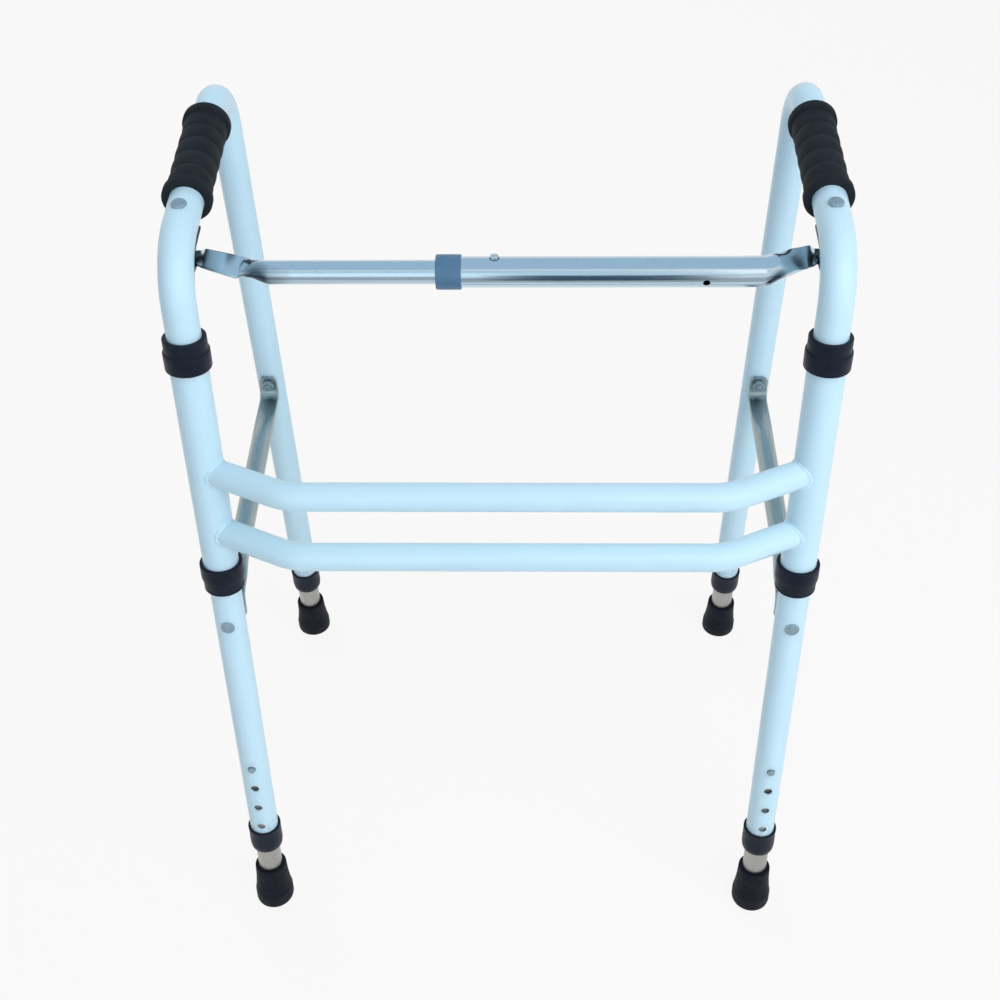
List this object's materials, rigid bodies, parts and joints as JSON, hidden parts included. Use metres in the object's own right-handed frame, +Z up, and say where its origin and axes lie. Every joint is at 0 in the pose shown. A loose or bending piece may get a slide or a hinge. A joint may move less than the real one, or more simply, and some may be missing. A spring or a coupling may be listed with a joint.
{
  "type": "folding walker",
  "caption": "Folding walking frame with two bent-tube side frames, a double crossbar, a telescopic crossbar and height-adjustable legs.",
  "frame": {"origin": "on the floor, midway between the four feet", "axes": "+Z up, -Y the way the user walks, +X to the user's left"},
  "size_m": [0.5034, 0.3926, 0.7143],
  "materials": {
    "white_paint": "glossy white powder coat",
    "chrome": "bright chrome plate",
    "anodised_aluminium": "satin anodised",
    "black_plastic": "moulded satin black",
    "black_rubber": "moulded matt black",
    "grip_foam": "soft matt black",
    "slate_plastic": "moulded slate blue",
    "blackened_steel": "blackened pressed steel",
    "zinc_steel": "bright zinc plate"
  },
  "bodies": {
    "front_panel": {"left_sleeve": "white_paint", "right_sleeve": "white_paint", "left_upper_collar": "black_plastic", "left_lower_collar": "black_plastic", "right_upper_collar": "black_plastic", "right_lower_collar": "black_plastic", "upper_crossbar": "white_paint", "lower_crossbar": "white_paint"},
    "crossbar_outer_half": {"crossbar_outer_tube": "chrome", "crossbar_collar": "slate_plastic"},
    "crossbar_inner_half": {"crossbar_inner_tube": "chrome"},
    "crossbar_button": {"crossbar_snap_button": "chrome"},
    "left_side": {"left_side_frame": "white_paint", "left_hand_grip": "grip_foam", "left_side_brace": "chrome", "left_front_brace_bolt": "zinc_steel", "left_front_brace_nut": "zinc_steel", "left_rear_brace_bolt": "zinc_steel", "left_rear_brace_nut": "zinc_steel", "left_crossbar_bracket": "blackened_steel", "left_bracket_bolt": "zinc_steel", "left_bracket_nut": "zinc_steel", "left_crossbar_pivot_pin": "zinc_steel", "left_front_ferrule": "black_plastic", "left_rear_ferrule": "black_plastic"},
    "left_front_leg": {"left_front_leg_extension": "anodised_aluminium", "left_front_rubber_tip": "black_rubber"},
    "left_front_button": {"left_front_snap_button": "zinc_steel"},
    "left_rear_leg": {"left_rear_leg_extension": "anodised_aluminium", "left_rear_rubber_tip": "black_rubber"},
    "left_rear_button": {"left_rear_snap_button": "zinc_steel"},
    "right_side": {"right_side_frame": "white_paint", "right_hand_grip": "grip_foam", "right_side_brace": "chrome", "right_front_brace_bolt": "zinc_steel", "right_front_brace_nut": "zinc_steel", "right_rear_brace_bolt": "zinc_steel", "right_rear_brace_nut": "zinc_steel", "right_crossbar_bracket": "blackened_steel", "right_bracket_bolt": "zinc_steel", "right_bracket_nut": "zinc_steel", "right_crossbar_pivot_pin": "zinc_steel", "right_front_ferrule": "black_plastic", "right_rear_ferrule": "black_plastic"},
    "right_front_leg": {"right_front_leg_extension": "anodised_aluminium", "right_front_rubber_tip": "black_rubber"},
    "right_front_button": {"right_front_snap_button": "zinc_steel"},
    "right_rear_leg": {"right_rear_leg_extension": "anodised_aluminium", "right_rear_rubber_tip": "black_rubber"},
    "right_rear_button": {"right_rear_snap_button": "zinc_steel"}
  },
  "joints": [
    {"name": "left_fold", "type": "hinge", "parent": "front_panel", "child": "left_side", "pos_m": [0.231, -0.179, 0], "axis": [0, 0.0941, 0.9956], "range_deg": [0, 86], "deforming": ["crossbar_snap_button"]},
    {"name": "left_crossbar_pivot", "type": "hinge", "parent": "left_side", "child": "crossbar_outer_half", "pos_m": [0.2313, -0.08248, 0.65984], "axis": [0, 0.0941, 0.9956], "range_deg": [-87.4, 0]},
    {"name": "left_front_leg_slide", "type": "slide", "parent": "left_side", "child": "left_front_leg", "axis": [0, -0.0941, -0.9956], "range_m": [0, 0.0762], "deforming": ["left_front_snap_button"]},
    {"name": "left_front_button_press", "type": "slide", "parent": "left_front_leg", "child": "left_front_button", "axis": [0.0087, 0.9955, -0.0941], "range_m": [0, 0.0042], "stiffness_N_per_m": 1500, "deforming": ["left_front_snap_button"]},
    {"name": "left_rear_leg_slide", "type": "slide", "parent": "left_side", "child": "left_rear_leg", "axis": [0.0016, 0.0941, -0.9956], "range_m": [0, 0.0762], "deforming": ["left_rear_snap_button"]},
    {"name": "left_rear_button_press", "type": "slide", "parent": "left_rear_leg", "child": "left_rear_button", "axis": [-0.0086, -0.9955, -0.0941], "range_m": [0, 0.0042], "stiffness_N_per_m": 1500, "deforming": ["left_rear_snap_button"]},
    {"name": "right_fold", "type": "hinge", "parent": "front_panel", "child": "right_side", "pos_m": [-0.231, -0.179, 0], "axis": [0, 0.0941, 0.9956], "range_deg": [-68.1, 0]},
    {"name": "right_crossbar_pivot", "type": "hinge", "parent": "right_side", "child": "crossbar_inner_half", "pos_m": [-0.2313, -0.08248, 0.65984], "axis": [0, 0.0941, 0.9956], "range_deg": [0, 66.8]},
    {"name": "right_front_leg_slide", "type": "slide", "parent": "right_side", "child": "right_front_leg", "axis": [0, -0.0941, -0.9956], "range_m": [0, 0.0762], "deforming": ["right_front_snap_button"]},
    {"name": "right_front_button_press", "type": "slide", "parent": "right_front_leg", "child": "right_front_button", "axis": [-0.0087, 0.9955, -0.0941], "range_m": [0, 0.0042], "stiffness_N_per_m": 1500, "deforming": ["right_front_snap_button"]},
    {"name": "right_rear_leg_slide", "type": "slide", "parent": "right_side", "child": "right_rear_leg", "axis": [-0.0016, 0.0941, -0.9956], "range_m": [0, 0.0762], "deforming": ["right_rear_snap_button"]},
    {"name": "right_rear_button_press", "type": "slide", "parent": "right_rear_leg", "child": "right_rear_button", "axis": [0.0086, -0.9955, -0.0941], "range_m": [0, 0.0042], "stiffness_N_per_m": 1500, "deforming": ["right_rear_snap_button"]},
    {"name": "crossbar_button_press", "type": "slide", "parent": "crossbar_inner_half", "child": "crossbar_button", "axis": [0, -0.0941, -0.9956], "range_m": [0, 0.0038], "stiffness_N_per_m": 1500, "deforming": ["crossbar_snap_button"]}
  ],
  "couplings": [
    {"joint": "left_crossbar_pivot", "follows": "left_fold", "ratio": -1.0147},
    {"joint": "right_fold", "follows": "left_fold", "ratio": -0.79},
    {"joint": "right_crossbar_pivot", "follows": "left_fold", "ratio": 0.77535}
  ]
}
